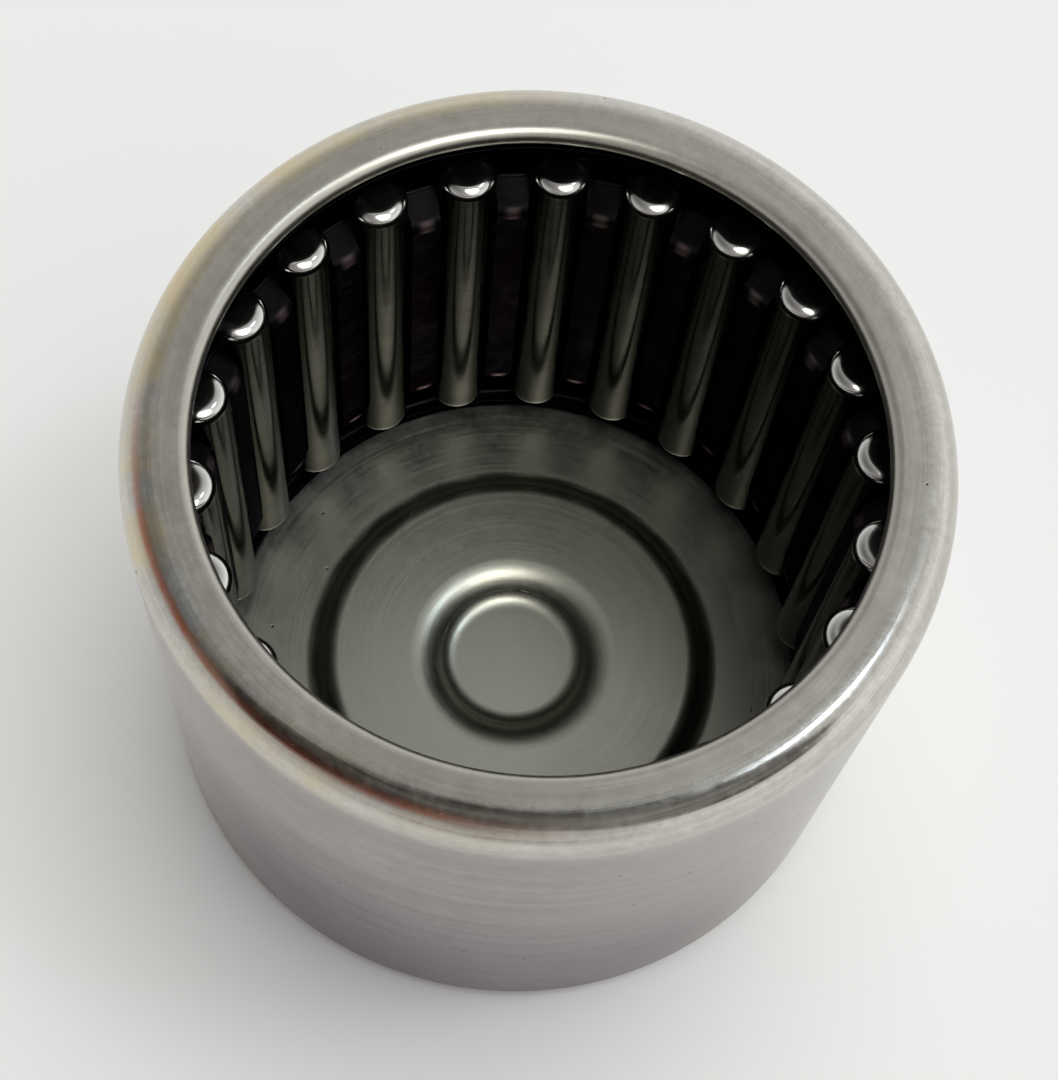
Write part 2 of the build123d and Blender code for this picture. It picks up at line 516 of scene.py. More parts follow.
# %% Cup grain, oil and pits
fine = effect(tree, turned_lines, place, Lines_per_mm=9.0, Streak_per_mm=0.10, Seed=3.0)["Lines"]
broad = effect(tree, turned_lines, place, Lines_per_mm=1.6, Streak_per_mm=0.05, Seed=11.0)["Lines"]
film = effect(tree, oil_film, place, Patch_mm=4.0, Cover=0.52, Seed=2.0)
blotch = effect(tree, oil_film, place, Patch_mm=1.3, Cover=0.55, Seed=8.0)["Film"]
grit = effect(tree, oil_film, place, Patch_mm=0.38, Cover=0.52, Seed=14.0)["Film"]
pits = effect(tree, small_pits, place, Spacing_mm=0.9, Pit_Share=0.10, Kept=0.16)["Pits"]
lines = product(tree, fine, 0.45)
for mask, share in ((broad, 0.25), (blotch, 0.22), (grit, 0.30)):
    lines = more(tree, mask, share, lines)
colour = tinted(tree, lines, DARK_STEEL, LIGHT_STEEL)
print(f"{cup_steel.name}: grain and patches, {len(tree.nodes)} nodes so far")

# %% Straw, violet and grey tints, and painted shade on the near wall
STRAW_SIDE = (-4.0, 13.0)
STRAW_ON_CORNER, STRAW_ELSEWHERE = 0.85, 0.06
LOW_WALL = (22.0, 4.0)
NEAR_SHADE_SIDE = (5.0, 15.0)
VIOLET_SHADE_ON_WALL, VIOLET_SHADE_MORE_LOW, VIOLET_IN_FILM = 0.45, 0.4, 0.15
LIP_AMOUNT = 0.55
INSIDE_ZONE = (13.0, 12.4)
INSIDE_AMOUNT = 0.8

straw_side = eased(tree, product(tree, parts["X"], -1.0), *STRAW_SIDE)
straw_amount = more(tree, product(tree, corner, straw_side), STRAW_ON_CORNER, STRAW_ELSEWHERE)
straw_amount = product(tree, film["Film"], straw_amount)
colour = tinted(tree, straw_amount, colour, STRAW)

# Painted shade: the near side of the wall (towards -Y) is painted darker and violet, more so towards
# the bottom; where the oil film is thick it adds a little violet tint all round.
low_wall = eased(tree, parts["Z"], *LOW_WALL)
near_side_shade = eased(tree, product(tree, parts["Y"], -1.0), *NEAR_SHADE_SIDE)
violet_shade_amount = more(tree, film["Thickness"], VIOLET_IN_FILM, near_side_shade)
down_the_wall = more(tree, low_wall, VIOLET_SHADE_MORE_LOW, VIOLET_SHADE_ON_WALL)
violet_shade_amount = product(tree, violet_shade_amount, down_the_wall)
violet = tinted(tree, lines, VIOLET_SHADE_DARK, VIOLET_SHADE_LIGHT)
colour = tinted(tree, product(tree, violet_shade_amount, wall), colour, violet)

colour = tinted(tree, product(tree, lip_flat, LIP_AMOUNT), colour, LIP_GREY)
inside = eased(tree, radius, *INSIDE_ZONE, 0.0, INSIDE_AMOUNT)
colour = tinted(tree, inside, colour, INSIDE_GREY)
print(f"{cup_steel.name}: straw towards -X, violet towards -Y below {LOW_WALL[0]:.0f} mm")

# %% The red-brown line on the corner, a painted dark reflection
LINE_MIDDLE = CUP_RADIUS - 0.74
LINE_HALF_WIDTH = 0.24
REFLECTION_SIDE = (-0.55, -0.835)
REFLECTION_REACH = (0.55 * CUP_RADIUS, 0.93 * CUP_RADIUS)
REFLECTION_AMOUNT, REFLECTION_MORE_IN_BLOTCH = 0.65, 0.3

off_line = calculated(tree, "ABSOLUTE", calculated(tree, "SUBTRACT", radius, LINE_MIDDLE))
on_line = eased(tree, off_line, LINE_HALF_WIDTH, LINE_HALF_WIDTH / 4)
towards_side = product(tree, parts["Y"], REFLECTION_SIDE[1])
towards_side = more(tree, parts["X"], REFLECTION_SIDE[0], towards_side)
on_side = eased(tree, towards_side, *REFLECTION_REACH)
# Painted reflection: a dark red-brown line along the near side of the corner, uneven in the
# blotches.
painted_reflection = product(tree, product(tree, on_line, on_side), mouth)
painted_reflection = product(tree, painted_reflection, more(tree, blotch, REFLECTION_MORE_IN_BLOTCH, REFLECTION_AMOUNT))
colour = tinted(tree, painted_reflection, colour, REFLECTION_BROWN)
colour = tinted(tree, pits, colour, PIT_DARK)
join(tree, colour, shader.inputs["Base Color"])
print(f"{cup_steel.name}: line {LINE_MIDDLE:.2f} mm from the axis")

# %% Cup roughness and relief
ROUGH = {"lip": 0.27, "corner": 0.15, "wall": 0.31, "inside": 0.27}
CUP_RELIEF = 0.0015 * MM
CUP_PIT_DEPTH = 8.0
rough = more(tree, lip_flat, ROUGH["lip"] - ROUGH["inside"], ROUGH["inside"])
rough = more(tree, corner, ROUGH["corner"] - ROUGH["inside"], rough)
rough = more(tree, wall, ROUGH["wall"] - ROUGH["inside"], rough)
for mask, rougher in ((fine, 0.07), (blotch, 0.03), (grit, 0.04), (pits, 0.3)):
    rough = more(tree, mask, rougher, rough)
join(tree, rough, shader.inputs["Roughness"])
relief = fine
for mask, share in ((broad, 0.5), (grit, 0.2)):
    relief = more(tree, mask, share, relief)
relief = calculated(tree, "SUBTRACT", relief, product(tree, pits, CUP_PIT_DEPTH))
raised(tree, shader, relief, CUP_RELIEF)
print(f"{cup_steel.name}: {len(tree.nodes)} nodes, roughness {ROUGH}")

# %% [markdown]
# ## The cage's finish
#
# The cage is thin pressed sheet with a near-black base colour and patches of oil, so it reads
# almost black against the needles. Rolled sheet has a finer, broken texture. The crown of each
# bar carries a painted highlight where it bends inwards, and from each bend out to the ends the
# cage is painted darker as painted shade under the lip and by the cup's floor. A dark base colour
# with soft patches does it, and the patches change the roughness too. The painted highlights and
# the painted shade are placed by where a point is on its own bar, which the tree stores before
# it repeats the bar.

# %% Cage material
CAGE_DARK = (0.020, 0.019, 0.023)
CAGE_WORN = (0.050, 0.046, 0.050)
CAGE_OIL = (0.024, 0.016, 0.014)
CAGE_HIGHLIGHT = (0.34, 0.25, 0.26)
CAGE_END_SHADE = (0.004, 0.004, 0.005)
CAGE_EDGE = (0.32, 0.31, 0.33)
BEND_FROM_MIDDLE = 7.4
HIGHLIGHT_AROUND_BEND = (0.38, 0.05)
HIGHLIGHT_AROUND_BAR = (0.45, 0.05)
END_SHADE_PAST_BEND = (BEND_FROM_MIDDLE, BEND_FROM_MIDDLE + 0.5)
END_SHADE_AMOUNT = 0.85
OILED_AMOUNT = 0.6
CAGE_ROUGH, CAGE_OILED_BY, CAGE_ROLLED_BY = 0.38, -0.08, 0.08
CAGE_RELIEF = 0.002 * MM
CAGE_PIT_DEPTH = 4.0

cage_steel, tree, shader = steel("cage_steel", CAGE_EDGE)
place = add(tree, "ShaderNodeTexCoord").outputs["Object"]
worn = effect(tree, oil_film, place, Patch_mm=1.1, Cover=0.5, Seed=5.0)["Film"]
oil = effect(tree, oil_film, place, Patch_mm=3.2, Cover=0.5, Seed=9.0)["Film"]
rolled = effect(tree, turned_lines, place, Lines_per_mm=6.0, Streak_per_mm=0.4, Seed=1.0)["Lines"]
pits = effect(tree, small_pits, place, Spacing_mm=0.6, Pit_Share=0.12, Kept=0.2)["Pits"]
colour = tinted(tree, product(tree, worn, rolled), CAGE_DARK, CAGE_WORN)
colour = tinted(tree, product(tree, oil, OILED_AMOUNT), colour, CAGE_OIL)
colour = tinted(tree, pits, colour, CAGE_DARK)
print(f"{cage_steel.name}: sheet and oil, {len(tree.nodes)} nodes so far")

# %% Painted shade at the ends and painted highlights at the bends, placed along the bar
on_bar = add(tree, "ShaderNodeAttribute", attribute_name="blank").outputs["Vector"]
parts = parts_in_millimetres(tree, on_bar)
above_middle = calculated(tree, "SUBTRACT", parts["Z"], CUP_WIDTH / 2)
from_middle = calculated(tree, "ABSOLUTE", above_middle)
past_bend = calculated(tree, "SUBTRACT", from_middle, BEND_FROM_MIDDLE)
near_bend = eased(tree, calculated(tree, "ABSOLUTE", past_bend), *HIGHLIGHT_AROUND_BEND)
near_crown = eased(tree, calculated(tree, "ABSOLUTE", parts["Y"]), *HIGHLIGHT_AROUND_BAR)
# Painted shade: the cage is darkened from each bend out to its ends, under the lip and down by the
# cup's floor.
end_shade = eased(tree, from_middle, *END_SHADE_PAST_BEND, 0.0, END_SHADE_AMOUNT)
colour = tinted(tree, end_shade, colour, CAGE_END_SHADE)
# Painted highlight: a bright spot on the crown of each bar where it bends inwards.
colour = tinted(tree, product(tree, near_bend, near_crown), colour, CAGE_HIGHLIGHT)
rough = more(tree, rolled, CAGE_ROLLED_BY, more(tree, oil, CAGE_OILED_BY, CAGE_ROUGH))
join(tree, colour, shader.inputs["Base Color"], rough, shader.inputs["Roughness"])
relief = calculated(tree, "SUBTRACT", rolled, product(tree, pits, CAGE_PIT_DEPTH))
raised(tree, shader, relief, CAGE_RELIEF)
print(f"{cage_steel.name}: {len(tree.nodes)} nodes, painted_highlight {BEND_FROM_MIDDLE} mm from the middle")

# %% [markdown]
# ## The needles' finish
#
# Needles are ground and tumbled until they are nearly mirrors, so they show what is around
# them. Their sides are painted dark as painted shade, with patches of oil, while their rounded
# ends keep the colour of bare steel and flash in the light, and the middle of each flat end is
# darkened. Their own lines run around each needle's axis, which isn't the bearing's axis, so
# this finish reads the place that the tree stored before it moved the needle out.

# %% Needle material
NEEDLE_SHADED = (0.105, 0.103, 0.095)
NEEDLE_SHADE_AND_OIL = (0.052, 0.050, 0.050)
NEEDLE_EDGE = (0.52, 0.52, 0.50)
NEEDLE_BARE = (0.66, 0.65, 0.63)
NEEDLE_MIDDLE = (roller_low.z + roller_high.z) / 2 / MM
NEEDLE_HALF_LENGTH = (roller_high.z - roller_low.z) / 2 / MM
UNSHADED_FROM_MIDDLE = (NEEDLE_HALF_LENGTH - 0.60, NEEDLE_HALF_LENGTH - 0.40)
END_FACE = (0.80, 0.55)
FILM_AMOUNT, END_FACE_DARKENING = 0.3, 0.9
NEEDLE_ROUGH, NEEDLE_RELIEF = 0.10, 0.0004 * MM

roller_steel, tree, shader = steel("roller_steel", NEEDLE_EDGE)
place = add(tree, "ShaderNodeAttribute", attribute_name="blank").outputs["Vector"]
standing = add(tree, "ShaderNodeTexCoord").outputs["Object"]
ground = effect(tree, turned_lines, place, Lines_per_mm=14.0, Streak_per_mm=0.5, Seed=4.0)["Lines"]
film = effect(tree, oil_film, standing, Patch_mm=2.2, Cover=0.5, Seed=6.0)["Film"]
parts = parts_in_millimetres(tree, place)
end_face = eased(tree, axis_distance(tree, parts), *END_FACE)
above_middle = calculated(tree, "SUBTRACT", parts["Z"], NEEDLE_MIDDLE)
near_end = eased(tree, calculated(tree, "ABSOLUTE", above_middle), *UNSHADED_FROM_MIDDLE)
# Painted shade: the sides take a dark base colour, darker still in the oil patches; the rounded ends
# keep the colour of bare steel.
colour = tinted(tree, ground, NEEDLE_SHADE_AND_OIL, NEEDLE_SHADED)
colour = tinted(tree, product(tree, film, FILM_AMOUNT), colour, NEEDLE_SHADE_AND_OIL)
colour = tinted(tree, near_end, colour, NEEDLE_BARE)
# The middle of each flat end is darkened.
colour = tinted(tree, product(tree, end_face, END_FACE_DARKENING), colour, CAGE_OIL)
rough = NEEDLE_ROUGH
for mask, rougher in ((ground, 0.05), (film, 0.06), (end_face, 0.12)):
    rough = more(tree, mask, rougher, rough)
join(tree, colour, shader.inputs["Base Color"], rough, shader.inputs["Roughness"])
raised(tree, shader, ground, NEEDLE_RELIEF)
print(f"{roller_steel.name}: {len(tree.nodes)} nodes")

# %% [markdown]
# ## The cup
#
# The cup is deep-drawn from one flat disc, so its closed end has the same thickness as its
# wall: where the inside has a raised boss with a dimple in it, the underside follows. Its lip
# is turned in last and keeps the needles from falling out. One section holds all of that, from
# the middle of the underside, up the outside, over the lip and down the inside to the middle
# of the floor. On a bend, the face on the outside of it has the larger round.

# %% Cup section
SHEET = 1.0 * MM
LIP_RADIUS = 13.25 * MM
LIP_EDGE = 0.48 * MM
MOUTH_CORNER = 1.4 * MM
BASE_CORNER = 1.3 * MM
RACEWAY_RADIUS = 15.05 * MM
INSIDE_CORNER = 0.5 * MM
BOSS_RISE = 0.9 * MM
BOSS_FLANK = math.radians(58.7)
BOSS_ROUND = 0.9 * MM
BOSS_RADIUS = 9.1 * MM
UNDER_BOSS_RADIUS = 8.6 * MM
DIMPLE_FLOOR = 2.65 * MM
DIMPLE_MOUTH = 4.9 * MM
DIMPLE_SHARE = 0.655
ROUND_FIT = 0.97


def boss_flank(middle, low):
    """Foot and shoulder of the boss's flank, around its middle radius."""
    half_run = BOSS_RISE / math.tan(BOSS_FLANK) / 2
    foot = (middle + half_run, low, BOSS_ROUND)
    shoulder = (middle - half_run, low + BOSS_RISE, BOSS_ROUND)
    return foot, shoulder


def dimple_flank(low, grow):
    """Shoulder and foot of the dimple's flank; grow moves size from the upper to the lower round."""
    run = DIMPLE_MOUTH - DIMPLE_FLOOR
    slope = 2 * math.atan(BOSS_RISE / run)
    rounds = run / math.sin(slope)
    upper = rounds * DIMPLE_SHARE - grow
    lower = rounds * (1 - DIMPLE_SHARE) + grow
    lean = math.tan(slope / 2)
    shoulder = (DIMPLE_MOUTH - upper * lean, low + BOSS_RISE, upper * ROUND_FIT)
    foot = (DIMPLE_FLOOR + lower * lean, low, lower * ROUND_FIT)
    return shoulder, foot


inner_foot, inner_shoulder = boss_flank(BOSS_RADIUS, SHEET)
under_foot, under_shoulder = boss_flank(UNDER_BOSS_RADIUS, 0)
dimple_shoulder, dimple_foot = dimple_flank(SHEET, 0)
under_dimple_shoulder, under_dimple_foot = dimple_flank(0, SHEET)

cup_section = rounded([
    (0, 0, 0),
    under_dimple_foot,
    under_dimple_shoulder,
    under_shoulder,
    under_foot,
    (OUTER_RADIUS, 0, BASE_CORNER),
    (OUTER_RADIUS, WIDTH, MOUTH_CORNER),
    (LIP_RADIUS, WIDTH, LIP_EDGE),
    (LIP_RADIUS, WIDTH - SHEET, LIP_EDGE),
    (RACEWAY_RADIUS, WIDTH - SHEET, INSIDE_CORNER),
    (RACEWAY_RADIUS, SHEET, INSIDE_CORNER),
    inner_foot,
    inner_shoulder,
    dimple_shoulder,
    dimple_foot,
    (0, SHEET, 0),
])
print(f"cup section: {len(cup_section)} points")

# %% Turning the cup
CUP_STEPS, NEEDLE_STEPS = 320, 64
cup = grown(
    "closed_end_cup", section_mesh("cup_section", cup_section), turning,
    {"Steps Around": CUP_STEPS, "Axis Distance": 0.0, "Axis Angle": 0.0, "Finish": cup_steel},
)
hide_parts("drawn_cup")
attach(cup, "cup")
print(f"{cup.name}: {len(cup.data.polygons)} faces")

# %% [markdown]
# ## The needles
#
# A needle is ground to within a few thousandths of a millimetre, and its ends are rounded so
# that they don't bite into the cup or the cage. Instances of one needle would be lighter,
# but each needle turns on its own body, so each gets its own mesh from the same tree. The
# values say how far out it stands and at which angle.

# %% Needles
ROLLER_END_ROUND = 0.55 * MM
roller_section = rounded([
    (0, roller_low.z, 0),
    (ROLLER_RADIUS, roller_low.z, ROLLER_END_ROUND),
    (ROLLER_RADIUS, roller_high.z, ROLLER_END_ROUND),
    (0, roller_high.z, 0),
])
for number, name in enumerate(ROLLERS):
    values = {
        "Steps Around": NEEDLE_STEPS, "Axis Distance": PITCH_RADIUS,
        "Axis Angle": PITCH_ANGLE * number, "Finish": roller_steel,
    }
    blank = section_mesh("needle_section", roller_section)
    needle = grown(f"needle_{number + 1:02d}", blank, turning, values)
    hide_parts(name)
    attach(needle, name)
print(f"{len(ROLLERS)} needles, {len(needle.data.polygons)} faces each")

# %% [markdown]
# ## The cage
#
# The cage starts as a sheet sleeve with its ends turned in. Its bars step inwards between two
# joggles, so that each needle stands out of its pocket both inside and outside. All 22 bars
# are alike, so the mesh code makes one bar with its share of the two end rings, and a tree
# repeats it around the axis and welds the joints.

# %% Cage sheet
CAGE_SHEET = 0.5 * MM
CAGE_FLANGE_RADIUS = 13.45 * MM
CAGE_WAIST = 12.95 * MM
CAGE_JOGGLE_INSET = 3.1 * MM
CAGE_JOGGLE_LENGTH = 1.2 * MM
CAGE_BEND = 0.5 * MM
CAGE_CROWN = 0.07 * MM
POCKET_SLOT = 2.44 * MM
POCKET_SEAT = ROLLER_RADIUS + 0.04 * MM
POCKET_END_GAP = 0.1 * MM

cage_middle = cage_high.x - CAGE_SHEET / 2
waist_middle = CAGE_WAIST + CAGE_SHEET / 2
flange_low, flange_high = cage_low.z + CAGE_SHEET / 2, cage_high.z - CAGE_SHEET / 2
joggle_low, joggle_high = cage_low.z + CAGE_JOGGLE_INSET, cage_high.z - CAGE_JOGGLE_INSET
cage_section = rounded([
    (CAGE_FLANGE_RADIUS, flange_low, 0),
    (cage_middle, flange_low, CAGE_BEND),
    (cage_middle, joggle_low, CAGE_BEND),
    (waist_middle, joggle_low + CAGE_JOGGLE_LENGTH, CAGE_BEND),
    (waist_middle, joggle_high - CAGE_JOGGLE_LENGTH, CAGE_BEND),
    (cage_middle, joggle_high, CAGE_BEND),
    (cage_middle, flange_high, CAGE_BEND),
    (CAGE_FLANGE_RADIUS, flange_high, 0),
])
print(f"cage section: {len(cage_section)} points")

# %% [markdown]
# A pocket is cut by a punch and then coined to a round seat for its needle, so a bar is wider
# at the level of the needle's axis than the slot is. The bar's half angle follows from the
# seat's circle at each distance from the axis.

# %% Where the pockets are
pocket_low = roller_low.z - POCKET_END_GAP
pocket_high = roller_high.z + POCKET_END_GAP
TOUCH = 1e-6 * MM


def with_pocket_ends(points):
    """The section with two more points, where the pocket starts and ends."""
    full = []
    for a, b in zip(points, points[1:]):
        full.append(a)
        for level in (pocket_low, pocket_high):
            if (a.y - level) * (b.y - level) < 0:
                full.append(a.lerp(b, (level - a.y) / (b.y - a.y)))
    full.append(points[-1])
    return full


def bar_half_angle(radius):
    """Half the bar's width, as an angle, between a slot's edge and the round seat's edge."""
    seat = POCKET_SEAT ** 2 - (radius - PITCH_RADIUS) ** 2
    width = max(POCKET_SLOT / 2, math.sqrt(max(seat, 0)))
    return PITCH_ANGLE / 2 - math.asin(width / radius)


def faces_of_sheet(points):
    """The two faces of the sheet whose middle line is given: the outer one and the inner one."""
    outer, inner = [], []
    for index, point in enumerate(points):
        around = points[max(index - 1, 0):index + 2]
        runs = [(b - a).normalized() for a, b in zip(around, around[1:]) if a != b]
        along = (runs[0] + runs[-1]).normalized()
        out = Vector((along.y, -along.x)) / along.dot(runs[0])
        outer.append(point + out * CAGE_SHEET / 2)
        inner.append(point - out * CAGE_SHEET / 2)
    return outer, inner


middle_line = with_pocket_ends(cage_section)
print(f"pockets from {pocket_low / MM:.1f} to {pocket_high / MM:.1f} mm, {len(middle_line)} rows")

# %% One bar with its share of the end rings
BAR_COLUMNS = 8
RIM_COLUMNS = 5
ACROSS = 2 * RIM_COLUMNS + BAR_COLUMNS + 1
FIRST_BAR, LAST_BAR = RIM_COLUMNS, RIM_COLUMNS + BAR_COLUMNS


def row_of_points(point, level, crown):
    """One sector's row of points, from pocket middle to pocket middle."""
    in_pocket = pocket_low - TOUCH <= level <= pocket_high + TOUCH
    half = bar_half_angle(point.x if in_pocket else cage_middle)
    row = []
    for column in range(ACROSS):
        if column < FIRST_BAR:
            angle = -PITCH_ANGLE / 2 + (PITCH_ANGLE / 2 - half) * column / RIM_COLUMNS
        elif column > LAST_BAR:
            angle = half + (PITCH_ANGLE / 2 - half) * (column - LAST_BAR) / RIM_COLUMNS
        else:
            angle = half * (2 * (column - FIRST_BAR) / BAR_COLUMNS - 1)
        over_bar = max(0.0, 1 - (angle / half) ** 2)
        reach = point.x - crown * over_bar
        row.append((reach * math.cos(angle), reach * math.sin(angle), point.y))
    return row


def sector_mesh():
    """The bar and its share of both end rings, as a closed sheet."""
    rows = len(middle_line)
    outer, inner = faces_of_sheet(middle_line)
    verts = []
    for line, crown in ((outer, 0.0), (inner, CAGE_CROWN)):
        for point, level in zip(line, middle_line):
            crowned = crown if joggle_low < level.y < joggle_high else 0.0
            verts.extend(row_of_points(point, level.y, crowned))
    open_row = [pocket_low - TOUCH < (a.y + b.y) / 2 < pocket_high + TOUCH
                for a, b in zip(middle_line, middle_line[1:])]

    def at(face, row, column):
        return (face * rows + row) * ACROSS + column

    def edge_wall(row, column, next_row, next_column):
        here, there = (row, column), (next_row, next_column)
        return [at(0, *here), at(0, *there), at(1, *there), at(1, *here)]

    faces = []
    sides = [*range(FIRST_BAR), *range(LAST_BAR, ACROSS - 1)]
    for row in range(rows - 1):
        for column in range(FIRST_BAR, LAST_BAR) if open_row[row] else range(ACROSS - 1):
            quad = [(row, column), (row, column + 1), (row + 1, column + 1), (row + 1, column)]
            faces.append([at(0, *corner) for corner in quad])
            faces.append([at(1, *corner) for corner in reversed(quad)])
        if open_row[row]:
            faces.append(edge_wall(row + 1, FIRST_BAR, row, FIRST_BAR))
            faces.append(edge_wall(row, LAST_BAR, row + 1, LAST_BAR))
        if row and open_row[row] != open_row[row - 1]:
            for column in sides:
                end_wall = edge_wall(row, column, row, column + 1)
                faces.append(end_wall if open_row[row] else end_wall[::-1])
    for column in range(ACROSS - 1):
        faces.append(edge_wall(0, column + 1, 0, column))
        faces.append(edge_wall(rows - 1, column, rows - 1, column + 1))
    mesh = bpy.data.meshes.new("cage_sector")
    mesh.from_pydata(verts, [], faces)
    return mesh


sector = sector_mesh()
print(f"one sector: {len(sector.polygons)} faces")

# %% [markdown]
# One bar is instanced on a row of points that all stand on the axis, each turned one pitch
# further than the last. Its place on the blank is stored first, so that every bar gets its
# painted highlight where it bends and its painted shade towards the ends. Realizing the copies
# and welding them makes one closed ring.

# %% The cage tree
ringing, given, result = geometry_tree(
    "sectors_around_axis",
    {
        "Sectors": "NodeSocketInt",
        "First Angle": "NodeSocketFloat",
        "Pitch": "NodeSocketFloat",
        "Finish": "NodeSocketMaterial",
    },
)
place = add(ringing, "GeometryNodeInputPosition")
noted = add(
    ringing, "GeometryNodeStoreNamedAttribute",
    data_type="FLOAT_VECTOR", domain="POINT", Name="blank",
)
spots = add(ringing, "GeometryNodePoints")
index = add(ringing, "GeometryNodeInputIndex")
angle = add(ringing, "ShaderNodeMath", operation="MULTIPLY_ADD")
facing = add(ringing, "ShaderNodeCombineXYZ")
copies = add(ringing, "GeometryNodeInstanceOnPoints")
realized = add(ringing, "GeometryNodeRealizeInstances")
welded = add(ringing, "GeometryNodeMergeByDistance", Distance=WELD_GAP)
smooth = add(ringing, "GeometryNodeSetShadeSmooth", Shade_Smooth=True)
finished = add(ringing, "GeometryNodeSetMaterial")
join(
    ringing,
    given["Sectors"], spots.inputs["Count"],
    index.outputs["Index"], angle.inputs[0],
    given["Pitch"], angle.inputs[1],
    given["First Angle"], angle.inputs[2],
    angle.outputs["Value"], facing.inputs["Z"],
    spots.outputs["Points"], copies.inputs["Points"],
    given["Geometry"], noted.inputs["Geometry"],
    place.outputs["Position"], noted.inputs["Value"],
    noted.outputs["Geometry"], copies.inputs["Instance"],
    facing.outputs["Vector"], copies.inputs["Rotation"],
    copies.outputs["Instances"], realized.inputs["Geometry"],
    realized.outputs["Geometry"], welded.inputs["Geometry"],
    welded.outputs["Geometry"], smooth.inputs["Geometry"],
    smooth.outputs["Geometry"], finished.inputs["Geometry"],
    given["Finish"], finished.inputs["Material"],
    finished.outputs["Geometry"], result,
)
print(f"{ringing.name}: {len(ringing.nodes)} nodes")

# %% The cage, with its edges tumbled round
EDGE_ROUND = 0.06 * MM
SHARP_EDGE = math.radians(40)
values = {
    "Sectors": len(ROLLERS), "First Angle": PITCH_ANGLE / 2,
    "Pitch": PITCH_ANGLE, "Finish": cage_steel,
}
cage = grown("pressed_cage", sector, ringing, values)
edge_round = cage.modifiers.new("edges", "BEVEL")
edge_round.width = EDGE_ROUND
edge_round.segments = 2
edge_round.limit_method = "ANGLE"
edge_round.angle_limit = SHARP_EDGE
edge_round.harden_normals = True
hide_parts("cage")
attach(cage, "cage")
print(f"{cage.name}: {len(cage.data.polygons)} faces")

# %% [markdown]
# ## The floor
#
# The bearing stands on a sheet of white paper, which is matt and throws soft light up at the
# wall. A disc far larger than the bearing keeps its own edge out of what the steel mirrors.

# %% Floor
FLOOR_RADIUS = 5.0
FLOOR_CORNERS = 64
PAPER_WHITE = (0.86, 0.86, 0.85)
floor_mesh = bpy.data.meshes.new("floor")
ring = []
for corner_number in range(FLOOR_CORNERS):
    angle = 2 * math.pi * corner_number / FLOOR_CORNERS
    ring.append((FLOOR_RADIUS * math.cos(angle), FLOOR_RADIUS * math.sin(angle), 0))
floor_mesh.from_pydata(ring, [], [range(FLOOR_CORNERS)])
floor = bpy.data.objects.new("floor", floor_mesh)
bpy.context.scene.collection.objects.link(floor)
paper = bpy.data.materials.new("paper")
paper.use_nodes = True
paper_shader = paper.node_tree.nodes["Principled BSDF"]
paper_shader.inputs["Base Color"].default_value = (*PAPER_WHITE, 1)
paper_shader.inputs["Roughness"].default_value = 0.9
floor_mesh.materials.append(paper)
print(f"floor: {2 * FLOOR_RADIUS:.0f} m across")

# %% [markdown]
# ## Light
#
# Bare steel shows its surroundings more than its own colour, so the light is built from what
# the steel should mirror: a pale room that is brightest low down, a dimmer ceiling, a person's
# shade on the near side, and to the right a broad window with a small hard one beside it. The
# world's colour gives the room. Lamps and a black card give the rest, and some of them are
# seen only by reflections, or only by matt surfaces, which real lamps can't do.

# %% The room
RIM = Vector((0, 0, WIDTH))
HORIZON, OVERHEAD = 0.88, 0.42
FADE = (0.2, 0.95)
SKY_LOBES = [
    ((0.85, 0.0, 0.5), (0.26, 0.26, 0.25), 2.0),
    ((-0.75, -0.1, 0.66), (-0.34, -0.34, -0.34), 3.0),
    ((0.0, 0.8, 0.6), (0.06, 0.06, 0.06), 2.0),
    ((0.0, -1.0, 0.3), (-0.34, -0.36, -0.38), 5.0),
]


def sky_lobe(tree, facing, direction, colour, sharpness):
    """A soft patch of light or shade in the room, around a direction."""
    towards = add(tree, "ShaderNodeVectorMath", operation="DOT_PRODUCT")
    towards.inputs[1].default_value = Vector(direction).normalized()
    patch = add(tree, "ShaderNodeVectorMath", operation="SCALE")
    patch.inputs[0].default_value = colour
    join(tree, facing, towards.inputs[0])
    ahead_only = calculated(tree, "MAXIMUM", towards.outputs["Value"], 0.0)
    shaped = calculated(tree, "POWER", ahead_only, sharpness)
    join(tree, shaped, patch.inputs["Scale"])
    return patch.outputs["Vector"]


world = bpy.data.worlds.new("studio")
bpy.context.scene.world = world
world.use_nodes = True
sky = world.node_tree
facing = add(sky, "ShaderNodeTexCoord").outputs["Generated"]
apart = add(sky, "ShaderNodeSeparateXYZ")
join(sky, facing, apart.inputs[0])
light_so_far = eased(sky, apart.outputs["Z"], *FADE, HORIZON, OVERHEAD)
for direction, colour, sharpness in SKY_LOBES:
    total = add(sky, "ShaderNodeVectorMath", operation="ADD")
    lobe = sky_lobe(sky, facing, direction, colour, sharpness)
    join(sky, light_so_far, total.inputs[0], lobe, total.inputs[1])
    light_so_far = total.outputs["Vector"]
join(sky, light_so_far, sky.nodes["Background"].inputs["Color"])
print(f"room: {len(SKY_LOBES)} patches over {HORIZON} to {OVERHEAD}")


# %% Lamps
def lamp(name, tilt_right, tilt_away, distance, size, colour, power):
    """A soft box aimed at the rim, at degrees right and away from overhead."""
    across, away = math.radians(tilt_right), math.radians(tilt_away)
    towards = Vector((math.tan(across), math.tan(away), 1)).normalized()
    data = bpy.data.lights.new(name, "AREA")
    data.shape = "ELLIPSE"
    data.size, data.size_y = size
    data.color = colour
    data.energy = power
    light = bpy.data.objects.new(name, data)
    bpy.context.scene.collection.objects.link(light)
    light.location = RIM + towards * distance
    light.rotation_euler = towards.to_track_quat("Z", "Y").to_euler()
    light.visible_camera = False
    return light


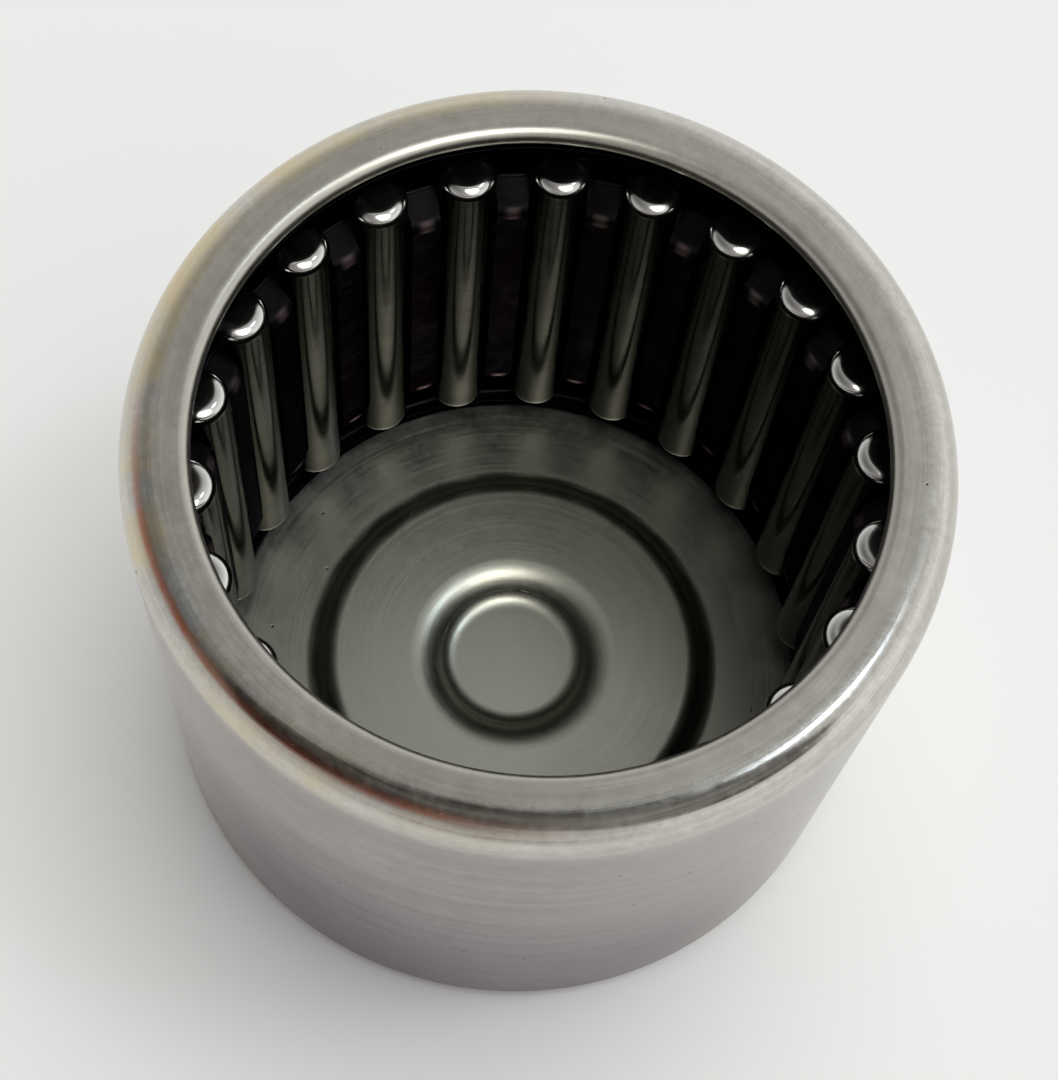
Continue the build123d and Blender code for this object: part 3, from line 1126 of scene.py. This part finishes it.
small_window = lamp("small_window", 26, 8, 0.6, (0.11, 0.05), (0.72, 0.86, 1.0), 0.26)
broad_window = lamp("broad_window", 22, -26, 0.5, (0.30, 0.43), (1.0, 0.99, 0.95), 1.2)
broad_window.visible_diffuse = False
ceiling = lamp("ceiling", 8, 12, 4.0, (4.0, 2.8), (1.0, 0.99, 0.975), 78.0)
ceiling.visible_glossy = False
for light in (small_window, broad_window, ceiling):
    print(f"{light.name}: {light.data.energy} W from {(light.location - RIM).length:.1f} m")

# %% [markdown]
# ## The black card
#
# In a studio, a black card beside shiny steel draws a dark edge on it. This one lies just
# above the near side of the rim. Only reflections see it: it makes the dark band along the
# near corner and keeps the inside of the bearing deep.

# %% Black card
CARD_HEIGHT = 6 * MM
CLOTH_BLACK = (0.055, 0.045, 0.042)
CARD_CORNERS = [
    (-13, -13.2), (3, -13.5), (9, -12.0), (20, -9.4),
    (26, -14), (24, -20), (10, -21.5), (-17, -20.5),
]
card_mesh = bpy.data.meshes.new("card")
corners = [(x * MM, y * MM, WIDTH + CARD_HEIGHT) for x, y in CARD_CORNERS]
card_mesh.from_pydata(corners, [], [range(len(corners))])
card = bpy.data.objects.new("card", card_mesh)
bpy.context.scene.collection.objects.link(card)
cloth = bpy.data.materials.new("black_cloth")
cloth.use_nodes = True
cloth_shader = cloth.node_tree.nodes["Principled BSDF"]
cloth_shader.inputs["Base Color"].default_value = (*CLOTH_BLACK, 1)
cloth_shader.inputs["Roughness"].default_value = 1.0
cloth_shader.inputs["Specular IOR Level"].default_value = 0.0
card_mesh.materials.append(cloth)
card.visible_camera = False
card.visible_diffuse = False
card.visible_shadow = False
print(f"card: {CARD_HEIGHT / MM:.0f} mm above the rim")

# %% [markdown]
# ## The camera
#
# The view looks steeply down into the mouth, from close by, so the rim is wide and the base is
# small. The camera circles the middle of the mouth at an azimuth and an elevation, then dips
# and rolls a little, as a hand-held one does. Its axes are worked out as vectors, which is
# easier to follow than three turns in a row.

# %% Camera
CAMERA_AZIMUTH = math.radians(4.74)
CAMERA_ELEVATION = math.radians(64.04)
CAMERA_DISTANCE = 5.1674 * OUTER_RADIUS
CAMERA_DIP = 0.0491
CAMERA_ROLL = 0.142
LENS = 73.2

right = Vector((math.cos(CAMERA_AZIMUTH), math.sin(CAMERA_AZIMUTH), 0))
ahead = Vector((-math.sin(CAMERA_AZIMUTH), math.cos(CAMERA_AZIMUTH), 0))
forward = ahead * math.cos(CAMERA_ELEVATION) - Vector((0, 0, math.sin(CAMERA_ELEVATION)))
eye = RIM - forward * CAMERA_DISTANCE
up = right.cross(forward)
forward = (forward - up * CAMERA_DIP).normalized()
up = right.cross(forward)
side = right * math.cos(CAMERA_ROLL) + up * math.sin(CAMERA_ROLL)
top = up * math.cos(CAMERA_ROLL) - right * math.sin(CAMERA_ROLL)
camera = bpy.data.objects.new("camera", bpy.data.cameras.new("camera"))
bpy.context.scene.collection.objects.link(camera)
camera.matrix_world = Matrix((side, top, -forward)).transposed().to_4x4()
camera.matrix_world.translation = eye
camera.data.lens = LENS
camera.data.clip_start = 1 * MM
bpy.context.scene.camera = camera
bpy.context.scene.view_settings.view_transform = "Standard"
print(f"camera: {CAMERA_DISTANCE / MM:.0f} mm from the mouth, lens {LENS} mm")
